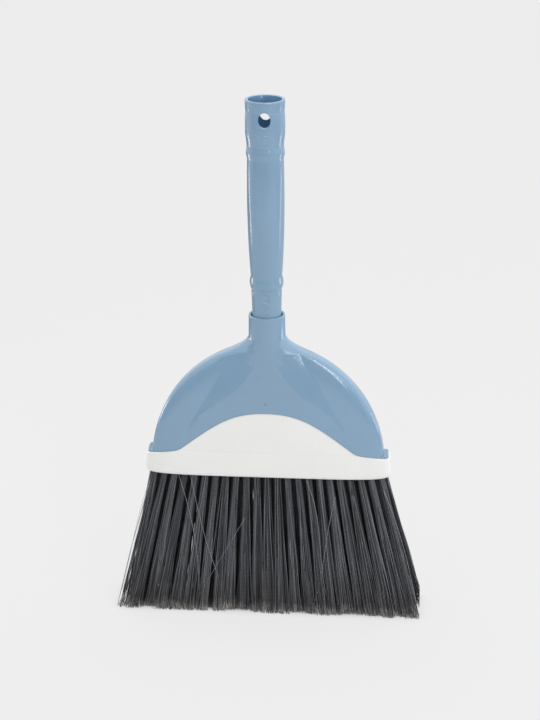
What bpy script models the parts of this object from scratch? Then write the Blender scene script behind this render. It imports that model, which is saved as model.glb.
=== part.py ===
"""Floor broom: a hollow grip handle pushed into a fan-shaped head with a splayed brush.

Metres, +Z up, the broom's front towards -Y. It stands on its bristle tips at z = 0.
Rises in the head are measured from the underside of the bristle block, and heights along
the handle from the rim of the head's socket.
"""

import math
import random

import bmesh
import bpy
from mathutils import Matrix

# Clearances
FIT_GAP = 0.0003
SEAM_GAP = 0.0004
OVERRUN = 0.004

# Head: a flat fan under a trumpet that comes down from the collar
HEAD_HALF_WIDTH = 0.0884
HEAD_HALF_DEPTH = 0.0150
DOME_HEIGHT = 0.0961
DOME_CENTRE_RISE = 0.0066
PLATE_TOP_HALF_DEPTH = 0.0062
COVER_WALL = 0.0022
NECK_RISE = 0.0067
COLLAR_HEIGHT = 0.0235
COLLAR_WALL = 0.0018
COLLAR_TAPER = 0.0002
COLLAR_ROUND = 0.0010
SOCKET_FLOOR = 0.0024

# Seam between cover and block
END_SEAM_RISE = 0.0142
KINK_STEP = 0.0052
ARCH_RISE = 0.0523
TONGUE_LENGTH = 0.0090

# Ledge at each end of the cover
LEDGE_REACH = 0.0030
LEDGE_HEIGHT = 0.0032
LEDGE_DRAFT = 0.0004
LEDGE_LIP = 0.0011
LEDGE_LIP_WALL = 0.0012

# Bristle block
BLOCK_REACH = 0.0003
BLOCK_DRAFT = 0.0017
BLOCK_END_ROUND = 0.0015
BLOCK_FRONT_ROUND = 0.0008

# Bristles
BRISTLE_LENGTH = 0.1137
TUFT_END_MARGIN = 0.0062
ROW_EDGE_MARGIN = 0.0056
ROW_LEAST_PITCH = 0.0048
TUFT_RADIUS = 0.0015
STRAND_ROOT_RADIUS = 0.00085
STRAND_TIP_RADIUS = 0.00125
TIP_CUT = 0.0005
BACKING_THICKNESS = 0.0020
BACKING_MARGIN = 0.0018

# Handle
SPIGOT_RADIUS = 0.0110
SPIGOT_DEPTH = 0.0335
SPIGOT_TAPER = 0.0005
MOUTH_CLEARANCE = 0.0007
HANDLE_EXPOSED = 0.1597
BARREL_RADIUS = 0.0144
HANDLE_WALL = 0.0024
RIDGE_HEIGHT = 0.0006
HOLE_HALF_WIDTH = 0.0044
HOLE_HALF_HEIGHT = 0.0054
HOLE_DROP = 0.0126
MOUTH_DEPTH = 0.0252

# Shares of the sizes above, chosen by eye
PLATE_BASE_DEPTH_SHARE = 0.965
KINK_WIDTH_SHARE = 0.76
NECK_START_SHARE = 0.931
NECK_TANGENT_SHARE = 0.14
NECK_LEAN_SHARES = (0.114, 0.40)
CREASE_LIMIT_SHARE = 0.86
SEAM_HANDLE_SHARES = (0.394, 0.576, 0.313)
TIP_SPREAD_SHARES = (1.32, 1.75)
TUFT_SPREAD_SHARES = (2.20, 1.80)
TIP_SCATTER_SHARE = 0.25
LEDGE_DEPTH_SHARE = 0.87
BACKING_END_SHARE = 0.99

# Handle outline above the socket: (share of the exposed length, share of the barrel's radius, ridge share)
HANDLE_OUTLINE_SHARES = (
    (0.027, 0.760, 0),
    (0.066, 0.771, 0),
    (0.095, 0.788, 0),
    (0.123, 0.776, 0),
    (0.136, 0.836, 0),
    (0.155, 0.865, 0),
    (0.172, 0.845, 0),
    (0.188, 0.806, 0.3),
    (0.210, 0.823, 1),
    (0.277, 0.865, 1),
    (0.363, 0.906, 1),
    (0.447, 0.927, 1),
    (0.531, 0.941, 1),
    (0.600, 0.938, 1),
    (0.700, 0.924, 1),
    (0.736, 0.917, 0.3),
    (0.748, 0.955, 0),
    (0.761, 0.971, 0),
    (0.776, 0.955, 0),
    (0.793, 0.927, 0),
    (0.836, 0.979, 0),
    (0.885, 1.000, 0),
    (0.949, 0.969, 0),
    (0.954, 0.944, 0),
    (0.961, 0.944, 0),
    (0.964, 0.990, 0),
    (0.970, 0.997, 0),
    (0.995, 0.997, 0),
    (1.000, 0.970, 0),
)

# Counts
TUFT_COLUMNS = 23
TUFT_ROWS = 4
RIDGES = 4
STRAND_SIDES = 3
CREASE_STEPS = 4
RIM_STEPS = 6
DOME_LEVELS = 10
NECK_LEVELS = 6
SEAM_STEPS = 14
DROOP_STEPS = 4
SLICE_STEPS = 3
ROUND_STEPS = 3
HANDLE_POINTS = 32
TURN_STEPS = 32
HOLE_POINTS = 24

# Exponents of the rounded sections, at the neck and at the base
PLATE_POWERS = (4, 6)
TRUMPET_POWERS = (2, 6)
BLOCK_POWER = 4.5
TUBE_POWER = 2
DROOP_POWER = 1.15

RANDOM_SEED = 7
MERGE_DISTANCE = 0.00001
SHARP_ANGLE = math.radians(35)

# Sizes that follow from those above
KINK_HALF_WIDTH = HEAD_HALF_WIDTH * KINK_WIDTH_SHARE
KINK_RISE = END_SEAM_RISE + KINK_STEP
DOME_TOP_RISE = DOME_CENTRE_RISE + DOME_HEIGHT
NECK_TOP_RISE = DOME_TOP_RISE + NECK_RISE
RIM_RISE = DOME_TOP_RISE + COLLAR_HEIGHT
MOUTH_RADIUS = SPIGOT_RADIUS + MOUTH_CLEARANCE
COLLAR_RADIUS = MOUTH_RADIUS + COLLAR_WALL
COLLAR_BASE_RADIUS = COLLAR_RADIUS + COLLAR_TAPER
SPIGOT_TIP_RADIUS = SPIGOT_RADIUS - SPIGOT_TAPER
SOCKET_BOTTOM_RISE = RIM_RISE - SPIGOT_DEPTH - FIT_GAP
LEDGE_HALF_WIDTH = HEAD_HALF_WIDTH + LEDGE_REACH
BLOCK_HALF_WIDTH = LEDGE_HALF_WIDTH + BLOCK_REACH
BACKING_HALF_WIDTH = BLOCK_HALF_WIDTH - BACKING_MARGIN
BACKING_HALF_DEPTH = HEAD_HALF_DEPTH - BACKING_MARGIN


def clear_scene():
    for obj in list(bpy.data.objects):
        bpy.data.objects.remove(obj)


def new_collection(name):
    collection = bpy.data.collections.new(name)
    bpy.context.scene.collection.children.link(collection)
    return collection


def new_material(name, colour, roughness):
    material = bpy.data.materials.new(name)
    material.use_nodes = True
    shader = material.node_tree.nodes["Principled BSDF"]
    shader.inputs["Base Color"].default_value = (*colour, 1)
    shader.inputs["Roughness"].default_value = roughness
    shader.inputs["Metallic"].default_value = 0
    return material


def new_object(name, mesh, collection, parent, material=None):
    obj = bpy.data.objects.new(name, mesh)
    collection.objects.link(obj)
    obj.parent = parent
    if material:
        mesh.materials.append(material)
    if mesh is not None and collection.name == "cutters":
        obj.hide_render = True
        obj.display_type = "WIRE"
    return obj


def mesh_from(name, work):
    mesh = bpy.data.meshes.new(name)
    bmesh.ops.recalc_face_normals(work, faces=work.faces)
    work.to_mesh(mesh)
    work.free()
    mesh.shade_smooth()
    mesh.set_sharp_from_angle(angle=SHARP_ANGLE)
    return mesh


def loft(name, rings):
    """A closed solid through flat rings of equal count, from the lowest to the highest."""
    work = bmesh.new()
    layers = [[work.verts.new(point) for point in ring] for ring in rings]
    for lower, upper in zip(layers, layers[1:]):
        for index, corner in enumerate(lower):
            after = (index + 1) % len(lower)
            work.faces.new((corner, lower[after], upper[after], upper[index]))
    work.faces.new(tuple(reversed(layers[0])))
    work.faces.new(tuple(layers[-1]))
    return mesh_from(name, work)


def turned(name, profile, collection, parent):
    """A solid of revolution about Z; the profile of (radius, height) runs from its top down."""
    mesh = bpy.data.meshes.new(name)
    points = [(radius, 0, height) for radius, height in profile]
    mesh.from_pydata(points, [(index, index + 1) for index in range(len(points) - 1)], [])
    obj = new_object(name, mesh, collection, parent)
    screw = obj.modifiers.new("turn", "SCREW")
    screw.steps = screw.render_steps = TURN_STEPS
    screw.use_merge_vertices = True
    screw.merge_threshold = MERGE_DISTANCE
    screw.use_smooth_shade = True
    return obj


def prism(name, outline, half_depth, collection, parent):
    """The outline of (x, rise) points, pulled out along Y to both sides."""
    work = bmesh.new()
    front = work.faces.new([work.verts.new((x, -half_depth, rise)) for x, rise in outline])
    pulled = bmesh.ops.extrude_face_region(work, geom=[front])
    moved = [item for item in pulled["geom"] if isinstance(item, bmesh.types.BMVert)]
    bmesh.ops.translate(work, verts=moved, vec=(0, 2 * half_depth, 0))
    return new_object(name, mesh_from(name, work), collection, parent)


def boolean(obj, operation, other):
    modifier = obj.modifiers.new(f"{operation.lower()} {other.name}", "BOOLEAN")
    modifier.operation = operation
    modifier.solver = "EXACT"
    modifier.object = other


def mix(start, end, share):
    return start + (end - start) * share


def clamp(value):
    return min(max(value, 0), 1)


def ease(value):
    value = clamp(value)
    return value * value * (3 - 2 * value)


def rounded(share, power):
    """Height of a superellipse of unit half-axes at this share of its half-width."""
    return (1 - min(share, 1) ** power) ** (1 / power)


def bezier(points, share):
    """A point of the cubic curve with these four control points."""
    rest = 1 - share
    weights = (rest**3, 3 * rest**2 * share, 3 * rest * share**2, share**3)
    return tuple(sum(w * point[axis] for w, point in zip(weights, points)) for axis in (0, 1))


def dome_outline(inset=0):
    """(rise, half-width) pairs up the rim of the fan, to where the neck begins."""
    half_width = HEAD_HALF_WIDTH - inset
    height = DOME_HEIGHT - inset
    first = math.asin((END_SEAM_RISE - OVERRUN - DOME_CENTRE_RISE) / height)
    last = math.asin(NECK_START_SHARE)
    angles = [mix(first, last, level / DOME_LEVELS) for level in range(DOME_LEVELS + 1)]
    return [(DOME_CENTRE_RISE + height * math.sin(a), half_width * math.cos(a)) for a in angles]


def neck_outline():
    """(rise, half-width) pairs from the fan's shoulder into the foot of the collar."""
    angle = math.asin(NECK_START_SHARE)
    rise, half_width = dome_outline()[-1]
    lean, drop = NECK_LEAN_SHARES
    pull = (
        rise + NECK_TANGENT_SHARE * DOME_HEIGHT * math.cos(angle),
        half_width - NECK_TANGENT_SHARE * HEAD_HALF_WIDTH * math.sin(angle),
    )
    foot = (NECK_TOP_RISE, COLLAR_BASE_RADIUS)
    below = (mix(foot[0], rise, drop), mix(foot[1], half_width, lean))
    controls = ((rise, half_width), pull, below, foot)
    return [bezier(controls, level / NECK_LEVELS) for level in range(1, NECK_LEVELS + 1)]


def head_ring(rise, half_width, inset=0):
    """The closed section of the head at this rise.

    A fan plate carries the trumpet, whose flank meets the plate along a straight crease from
    the foot of the collar to the kink of the seam. Near the neck the section turns round.
    """
    share = clamp((NECK_TOP_RISE - rise) / (NECK_TOP_RISE - KINK_RISE))
    neck_start = DOME_CENTRE_RISE + DOME_HEIGHT * NECK_START_SHARE
    fan_share = ease((NECK_TOP_RISE - rise) / (NECK_TOP_RISE - neck_start))
    depth = mix(COLLAR_BASE_RADIUS, HEAD_HALF_DEPTH, share) - inset
    plate = mix(PLATE_TOP_HALF_DEPTH, HEAD_HALF_DEPTH * PLATE_BASE_DEPTH_SHARE, share) - inset
    crease = mix(COLLAR_BASE_RADIUS, KINK_HALF_WIDTH, share)
    crease = min(crease, half_width * CREASE_LIMIT_SHARE)
    plate_power = mix(*PLATE_POWERS, share)
    trumpet_power = mix(*TRUMPET_POWERS, share)
    stations = [crease * step / CREASE_STEPS for step in range(CREASE_STEPS + 1)]
    for step in range(1, RIM_STEPS):
        turn = math.sin(math.pi / 2 * step / RIM_STEPS)
        stations.append(mix(crease, half_width, turn))
    quarter = []
    for x in stations:
        lift = max(0, 1 - (x / crease) ** trumpet_power)
        fan = plate * rounded(x / half_width, plate_power) + (depth - plate) * lift
        tube = depth * rounded(x / half_width, TUBE_POWER)
        quarter.append((x, mix(tube, fan, fan_share)))
    quarter.append((half_width, 0))
    return whole_ring(quarter, rise)


def whole_ring(quarter, rise):
    """All four quarters of a section, anticlockwise from above, from the quarter at +X, -Y."""
    front = [(-x, -y) for x, y in reversed(quarter[1:])] + [(x, -y) for x, y in quarter]
    back = [(x, y) for x, y in reversed(quarter[:-1])] + [(-x, y) for x, y in quarter[1:-1]]
    return [(x, y, rise) for x, y in front + back]


def slab_ring(rise, half_width, half_depth):
    """A rounded rectangle as a superellipse, for the block and the end ledges."""
    count = CREASE_STEPS + RIM_STEPS
    quarter = []
    for step in range(count):
        x = half_width * math.sin(math.pi / 2 * step / count)
        quarter.append((x, half_depth * rounded(x / half_width, BLOCK_POWER)))
    quarter.append((half_width, 0))
    return whole_ring(quarter, rise)


def seam_outline(shift):
    """(x, rise) points of the seam from left to right, moved up by shift."""
    near, far, drop = SEAM_HANDLE_SHARES
    apex = (0, ARCH_RISE + shift)
    kink = (KINK_HALF_WIDTH, KINK_RISE + shift)
    controls = (
        apex,
        (near * KINK_HALF_WIDTH, apex[1]),
        (far * KINK_HALF_WIDTH, mix(apex[1], kink[1], drop)),
        kink,
    )
    right = [bezier(controls, step / SEAM_STEPS) for step in range(SEAM_STEPS + 1)]
    edge = BLOCK_HALF_WIDTH + OVERRUN
    for step in range(1, DROOP_STEPS + 1):
        share = step / DROOP_STEPS
        drop = KINK_STEP * share**DROOP_POWER
        right.append((mix(KINK_HALF_WIDTH, edge, share), kink[1] - drop))
    return [(-x, rise) for x, rise in reversed(right[1:])] + right


def seam_prism(name, shift, limit, cutters, parent):
    """Everything between the seam and the level named by limit, right through the head."""
    outline = seam_outline(shift)
    edge = outline[-1][0]
    outline += [(edge, limit), (-edge, limit)]
    return prism(name, outline, HEAD_HALF_DEPTH + OVERRUN, cutters, parent)


def build_cover(parts, cutters, head, material):
    """The blue shell: fan, trumpet, collar and end ledges, with the socket inside."""
    levels = dome_outline() + neck_outline()
    levels.append((RIM_RISE - COLLAR_ROUND, COLLAR_RADIUS))
    levels.append((RIM_RISE, COLLAR_RADIUS - COLLAR_ROUND))
    rings = [head_ring(rise, half_width) for rise, half_width in levels]
    cover = new_object("head_cover", loft("head_cover", rings), parts, head, material)

    ledge_depth = HEAD_HALF_DEPTH * LEDGE_DEPTH_SHARE
    top_width = LEDGE_HALF_WIDTH - LEDGE_DRAFT
    ledge_top = END_SEAM_RISE + LEDGE_HEIGHT
    tray = loft(
        "ledge",
        [
            slab_ring(END_SEAM_RISE - OVERRUN, LEDGE_HALF_WIDTH, ledge_depth),
            slab_ring(END_SEAM_RISE + LEDGE_DRAFT, LEDGE_HALF_WIDTH, ledge_depth),
            slab_ring(ledge_top, top_width, ledge_depth - LEDGE_DRAFT),
        ],
    )
    ledge = new_object("ledge", tray, cutters, head)
    trough_depth = HEAD_HALF_DEPTH + OVERRUN
    trough = loft(
        "ledge_trough",
        [
            slab_ring(rise, top_width - LEDGE_LIP_WALL, trough_depth)
            for rise in (ledge_top - LEDGE_LIP, ledge_top + OVERRUN)
        ],
    )
    boolean(ledge, "DIFFERENCE", new_object("ledge_trough", trough, cutters, head))
    boolean(cover, "UNION", ledge)

    hollow = loft(
        "hollow",
        [head_ring(rise, half_width, COVER_WALL) for rise, half_width in dome_outline(COVER_WALL)],
    )
    boolean(cover, "DIFFERENCE", new_object("hollow", hollow, cutters, head))

    boss_profile = (
        (0, NECK_TOP_RISE),
        (COLLAR_RADIUS, NECK_TOP_RISE),
        (COLLAR_RADIUS, SOCKET_BOTTOM_RISE - SOCKET_FLOOR),
        (0, SOCKET_BOTTOM_RISE - SOCKET_FLOOR),
    )
    boolean(cover, "UNION", turned("socket_boss", boss_profile, cutters, head))
    bore_profile = (
        (0, RIM_RISE + OVERRUN),
        (MOUTH_RADIUS, RIM_RISE + OVERRUN),
        (MOUTH_RADIUS, RIM_RISE),
        (SPIGOT_TIP_RADIUS + FIT_GAP, SOCKET_BOTTOM_RISE),
        (0, SOCKET_BOTTOM_RISE),
    )
    boolean(cover, "DIFFERENCE", turned("socket_bore", bore_profile, cutters, head))
    below = seam_prism("below_seam", 0, -OVERRUN, cutters, head)
    boolean(cover, "DIFFERENCE", below)
    return cover


def build_block(parts, cutters, head, material):
    """The white block: band, humps flush with the cover, tongue inside it, pocket below."""
    bottom_width = BLOCK_HALF_WIDTH + BLOCK_DRAFT
    rings = []
    for step in range(ROUND_STEPS + 1):
        angle = math.pi / 2 * step / ROUND_STEPS
        lost = 1 - math.sin(angle)
        rise = BLOCK_END_ROUND * (1 - math.cos(angle))
        width = bottom_width - BLOCK_END_ROUND * lost
        depth = HEAD_HALF_DEPTH - BLOCK_FRONT_ROUND * lost
        rings.append(slab_ring(rise, width, depth))
    rings.append(slab_ring(KINK_RISE, BLOCK_HALF_WIDTH, HEAD_HALF_DEPTH))
    band = loft("band", rings)
    block = new_object("bristle_block", band, parts, head, material)

    outline = [level for level in dome_outline() if level[0] < ARCH_RISE + OVERRUN]
    hump = loft("hump", [head_ring(*level) for level in outline])
    boolean(block, "UNION", new_object("hump", hump, cutters, head))
    above = seam_prism("above_seam", -SEAM_GAP, RIM_RISE, cutters, head)
    boolean(block, "DIFFERENCE", above)

    inset = COVER_WALL + FIT_GAP
    reach = ARCH_RISE + TONGUE_LENGTH + OVERRUN
    outline = [level for level in dome_outline(inset) if level[0] < reach]
    tongue = loft("tongue", [head_ring(*level, inset) for level in outline])
    tongue = new_object("tongue", tongue, cutters, head)
    over_tongue = seam_prism("above_tongue", TONGUE_LENGTH, RIM_RISE, cutters, head)
    boolean(tongue, "DIFFERENCE", over_tongue)
    boolean(block, "UNION", tongue)

    pocket_width = BACKING_HALF_WIDTH + FIT_GAP
    pocket_depth = BACKING_HALF_DEPTH + FIT_GAP
    pocket = loft(
        "pocket",
        [
            slab_ring(rise, pocket_width, pocket_depth)
            for rise in (-OVERRUN, BACKING_THICKNESS + FIT_GAP)
        ],
    )
    boolean(block, "DIFFERENCE", new_object("pocket", pocket, cutters, head))
    return block


def backing_depth(x):
    """Half-depth at x of the strip that holds all the tufts."""
    return BACKING_HALF_DEPTH * rounded(abs(x) / BACKING_HALF_WIDTH, BLOCK_POWER)


def backing_slice(name, left, right):
    """The part of that strip between two places along X."""
    stations = [mix(left, right, step / SLICE_STEPS) for step in range(SLICE_STEPS + 1)]
    outline = [(x, -backing_depth(x)) for x in stations]
    outline += [(x, -y) for x, y in reversed(outline)]
    ends = (BRISTLE_LENGTH, BRISTLE_LENGTH + BACKING_THICKNESS)
    return loft(name, [[(x, y, height) for x, y in outline] for height in ends])


def tuft_rows(x):
    """Places along Y of the tufts in the column at x: the rounded ends hold fewer."""
    reach = TUFT_RADIUS + STRAND_ROOT_RADIUS + FIT_GAP
    room = backing_depth(abs(x) + reach) - reach
    half_depth = min(HEAD_HALF_DEPTH - ROW_EDGE_MARGIN, room)
    gaps = min(TUFT_ROWS - 1, int(2 * half_depth / ROW_LEAST_PITCH))
    return [mix(-half_depth, half_depth, row / gaps) for row in range(gaps + 1)]


def add_strand(work, root, tip, turn):
    """One straight strand from the middle of the backing to just past the floor."""
    length = BRISTLE_LENGTH + BACKING_THICKNESS / 2 + TIP_CUT
    lean = ((root[0] - tip[0]) / length, (root[1] - tip[1]) / length)
    middle = ((root[0] + tip[0]) / 2, (root[1] + tip[1]) / 2, length / 2 - TIP_CUT)
    placed = Matrix.Translation(middle) @ Matrix.Shear("XY", 4, lean)
    bmesh.ops.create_cone(
        work,
        cap_ends=True,
        segments=STRAND_SIDES,
        radius1=STRAND_TIP_RADIUS,
        radius2=STRAND_ROOT_RADIUS,
        depth=length,
        matrix=placed @ Matrix.Rotation(turn, 4, "Z"),
    )


def build_tufts(parts, cutters, brush, material):
    """The brush, one node for each column of tufts: strands fused to a slice of backing."""
    half_width = BLOCK_HALF_WIDTH - TUFT_END_MARGIN
    pitch = 2 * half_width / (TUFT_COLUMNS - 1)
    limit = BACKING_HALF_WIDTH * BACKING_END_SHARE
    wide, deep = TIP_SPREAD_SHARES
    spread = TUFT_SPREAD_SHARES
    chance = random.Random(RANDOM_SEED)
    floor_work = bmesh.new()
    bmesh.ops.create_cube(floor_work, size=1)
    reach = BLOCK_HALF_WIDTH * max(TIP_SPREAD_SHARES) + OVERRUN
    floor_size = (2 * reach, 2 * reach, 2 * OVERRUN)
    bmesh.ops.scale(floor_work, vec=floor_size, verts=floor_work.verts)
    bmesh.ops.translate(floor_work, vec=(0, 0, -OVERRUN), verts=floor_work.verts)
    floor = new_object("floor_cut", mesh_from("floor_cut", floor_work), cutters, brush)
    for number in range(1, TUFT_COLUMNS + 1):
        name = f"tuft_column_{number:02d}"
        x = pitch * (number - (TUFT_COLUMNS + 1) / 2)
        left = max(x - pitch / 2 + FIT_GAP / 2, -limit)
        right = min(x + pitch / 2 - FIT_GAP / 2, limit)
        column = new_object(name, backing_slice(name, left, right), parts, brush, material)
        strands = bmesh.new()
        for y in tuft_rows(x):
            for side, face in ((0, 0), (-1, -1), (1, -1), (-1, 1), (1, 1)):
                offset = (side * TUFT_RADIUS, face * TUFT_RADIUS)
                scatter = TIP_SCATTER_SHARE * TUFT_RADIUS
                tip = (
                    x * wide + offset[0] * spread[0] + chance.uniform(-scatter, scatter),
                    y * deep + offset[1] * spread[1] + chance.uniform(-scatter, scatter),
                )
                turn = chance.uniform(0, math.tau)
                add_strand(strands, (x + offset[0], y + offset[1]), tip, turn)
        bundle = f"strands_{number:02d}"
        bundle = new_object(bundle, mesh_from(bundle, strands), cutters, brush)
        boolean(column, "UNION", bundle)
        boolean(column, "DIFFERENCE", floor)


def handle_ring(height, radius, ridge):
    """A section of the handle: round, or four soft facets that meet in ridges at the diagonals."""
    half_facet = math.tau / RIDGES / 2
    points = []
    for step in range(HANDLE_POINTS):
        angle = math.tau * step / HANDLE_POINTS
        off_centre = abs((angle + half_facet) % (2 * half_facet) - half_facet)
        reach = radius + ridge * RIDGE_HEIGHT * (off_centre / half_facet) ** 2
        points.append((reach * math.sin(angle), -reach * math.cos(angle), height))
    return points


def build_handle(parts, cutters, joint, material):
    """The handle tube, its spigot below the socket's rim and its lipped mouth at the top."""
    rings = [
        handle_ring(-SPIGOT_DEPTH, SPIGOT_TIP_RADIUS - FIT_GAP, 0),
        handle_ring(-SPIGOT_DEPTH + FIT_GAP, SPIGOT_TIP_RADIUS, 0),
    ]
    for height, radius, ridge in HANDLE_OUTLINE_SHARES:
        rings.append(handle_ring(height * HANDLE_EXPOSED, radius * BARREL_RADIUS, ridge))
    tube = new_object("handle_tube", loft("handle_tube", rings), parts, joint, material)
    top_bore = BARREL_RADIUS - HANDLE_WALL
    low_bore = SPIGOT_TIP_RADIUS - HANDLE_WALL
    bore_profile = (
        (0, HANDLE_EXPOSED + OVERRUN),
        (top_bore, HANDLE_EXPOSED + OVERRUN),
        (top_bore, HANDLE_EXPOSED - MOUTH_DEPTH),
        (low_bore, 0),
        (low_bore, -SPIGOT_DEPTH - OVERRUN),
        (0, -SPIGOT_DEPTH - OVERRUN),
    )
    boolean(tube, "DIFFERENCE", turned("handle_bore", bore_profile, cutters, joint))

    work = bmesh.new()
    bmesh.ops.create_cone(
        work,
        cap_ends=True,
        segments=HOLE_POINTS,
        radius1=HOLE_HALF_WIDTH,
        radius2=HOLE_HALF_WIDTH,
        depth=2 * (BARREL_RADIUS + OVERRUN),
        matrix=Matrix.Rotation(math.pi / 2, 4, "X"),
    )
    stretch = (1, 1, HOLE_HALF_HEIGHT / HOLE_HALF_WIDTH)
    bmesh.ops.scale(work, vec=stretch, verts=work.verts)
    hole = new_object("hang_hole", mesh_from("hang_hole", work), cutters, joint)
    hole.location = (0, 0, HANDLE_EXPOSED - HOLE_DROP)
    boolean(tube, "DIFFERENCE", hole)
    return tube


def build_broom():
    clear_scene()
    parts = new_collection("floor_broom")
    cutters = new_collection("cutters")
    blue = (0.245, 0.382, 0.522)
    brush = new_object("brush_frame", None, parts, None)
    head = new_object("head_frame", None, parts, None)
    head.location = (0, 0, BRISTLE_LENGTH)
    joint = new_object("handle_joint", None, parts, head)
    joint.location = (0, 0, RIM_RISE)
    build_cover(parts, cutters, head, new_material("cover_plastic", blue, 0.32))
    build_block(parts, cutters, head, new_material("block_plastic", (0.83, 0.83, 0.81), 0.38))
    build_tufts(parts, cutters, brush, new_material("filament", (0.075, 0.082, 0.092), 0.55))
    build_handle(parts, cutters, joint, new_material("handle_plastic", blue, 0.34))


build_broom()
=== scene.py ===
"""Floor broom as photographed: blue grip handle and fan cover, white block, dark splayed brush.

Metres, +Z up, the broom's front towards -Y, standing on its bristle tips at z = 0. Heights
named RISE are measured from the underside of the bristle block.
"""

import math

import bmesh
import bpy
import numpy as np
from mathutils import Matrix, Vector


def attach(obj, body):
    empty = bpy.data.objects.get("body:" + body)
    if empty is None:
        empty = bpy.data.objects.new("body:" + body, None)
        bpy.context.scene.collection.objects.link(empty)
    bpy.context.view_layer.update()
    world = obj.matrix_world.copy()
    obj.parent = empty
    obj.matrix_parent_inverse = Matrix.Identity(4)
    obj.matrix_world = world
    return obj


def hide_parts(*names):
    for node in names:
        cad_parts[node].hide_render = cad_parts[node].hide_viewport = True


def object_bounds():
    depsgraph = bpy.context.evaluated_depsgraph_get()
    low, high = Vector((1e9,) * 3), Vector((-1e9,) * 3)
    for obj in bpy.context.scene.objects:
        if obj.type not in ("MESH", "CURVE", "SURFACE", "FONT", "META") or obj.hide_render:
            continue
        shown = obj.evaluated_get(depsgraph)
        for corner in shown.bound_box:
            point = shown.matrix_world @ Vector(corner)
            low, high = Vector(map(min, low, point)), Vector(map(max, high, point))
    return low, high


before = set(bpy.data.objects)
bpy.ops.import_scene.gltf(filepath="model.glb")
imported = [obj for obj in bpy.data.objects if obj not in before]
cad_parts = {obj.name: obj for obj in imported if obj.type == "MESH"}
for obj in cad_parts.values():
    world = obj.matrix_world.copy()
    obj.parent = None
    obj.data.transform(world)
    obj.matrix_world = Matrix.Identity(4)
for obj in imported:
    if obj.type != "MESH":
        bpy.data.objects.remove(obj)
cad_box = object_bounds()

# Camera: the view of the photograph
CAMERA_PITCH = math.radians(21.3)
CAMERA_TURN = math.radians(5.4)
CAMERA_ROLL = math.radians(0.5)
CAMERA_DISTANCE = 1.262
CAMERA_AIM_RIGHT = 0.002
CAMERA_AIM_HEIGHT = 0.2032
CAMERA_LENS = 85
CAMERA_SENSOR = 36
CAMERA_REACH = 50

# Studio
FLOOR_HALF_SIZE = 8
FLOOR_TONE = 0.13
FLOOR_TONE_SPREAD = 0.01
FLOOR_GLOW = 0.71
FLOOR_ROUGHNESS = 0.9
FLOOR_CLOUD_SCALE = 3.0
# Painted contact shadow in the floor's glow: half-sizes of its dark core under the brush, and the
# fade outside it
PAINTED_SHADOW_HALF_SIZES = (0.111, 0.0130)
PAINTED_SHADOW_FADE = 0.012
# Share of the floor's glow left beside the painted contact shadow under the brush: (share of the
# fade's width, share left)
PAINTED_SHADOW_STOPS = ((0.0, 0.06), (0.25, 0.74), (0.45, 0.93), (1.0, 1.0))
TENT_STRENGTH = 1.0
# Standing screens: (name, corners on the floor, height, tone)
FLAGS = (
    ("front_flag", ((-1.5, -0.3), (-1.35, -0.9), (-0.85, -1.38), (1.6, -1.38)), 0.62, 0.02),
    ("right_card", ((1.45, -1.1), (0.86, -0.12), (0.84, 0.25)), 0.25, 0.22),
)
# Cloths on the floor outside the picture: (name, corners, tone)
MATS = (
    ("left_mat", ((-0.37, 0.15), (-1.3, 0.15), (-1.3, 1.4), (-0.56, 1.4)), 0.05),
    ("right_mat", ((0.30, 0.15), (1.3, 0.15), (1.3, 1.4), (0.36, 1.4)), 0.45),
)
MAT_HEIGHT = 0.002
# Area lights: (name, place, aim, size, power, colour)
LIGHTS = (
    ("top_box", (0.3, -0.4, 2.2), (0, 0, 0.2), (1.6, 1.6), 11, (1, 1, 1)),
    ("right_box", (1.0, -1.25, 1.0), (0, 0, 0.2), (0.5, 0.5), 2.2, (0.94, 0.97, 1)),
    ("right_strip", (0.62, -1.15, 0.62), (0.05, 0, 0.2), (0.07, 0.5), 1.8, (1, 1, 1)),
    ("left_edge_box", (-0.56, 0.21, 0.155), (0, 0, 0.27), (0.16, 0.11), 0.36, (1, 0.94, 0.86)),
    ("right_edge_box", (0.56, 0.20, 0.155), (0, 0, 0.27), (0.16, 0.11), 0.22, (0.93, 0.97, 1)),
)

# Materials
BLUE = (0.234, 0.373, 0.521)
# Deeper blue painted inside the handle's mouth as shade
BORE_SHADE_BLUE = (0.105, 0.232, 0.390)
WHITE = (0.905, 0.905, 0.89)
PLASTIC_IOR = 1.6
FLOW_SCALE = 38.0
NOISE_MIDDLE = (0.3, 0.7)
GLOSS_SPREAD = (-0.015, 0.02)
GRAIN_STRENGTH = 0.35
BORE_BLEND = 0.0003
BORE_START_BLEND = 0.001
# Colour up the filament, pale at the frayed tips, darkest just above them and lighter towards the
# block, as painted shade near the floor: (share of the bristle length, colour)
FILAMENT_STOPS = (
    (0.00, (0.235, 0.218, 0.214)),
    (0.05, (0.170, 0.160, 0.158)),
    (0.11, (0.062, 0.062, 0.067)),
    (0.40, (0.098, 0.103, 0.115)),
    (0.97, (0.112, 0.117, 0.130)),
)
FILAMENT_PATCH_SCALE = 95.0
FILAMENT_PATCH_SHIFT = (-0.03, 0.06)
FILAMENT_TONE_SPREAD = (0.30, 2.30)
# Range of the painted light and shade of crimps: (darkest, lightest) scale of the colour
FILAMENT_RIPPLE = (0.88, 1.12)
CRIMP_SHADING_SCALE = 90.0
FILAMENT_ROUGHNESS = 0.36

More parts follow.
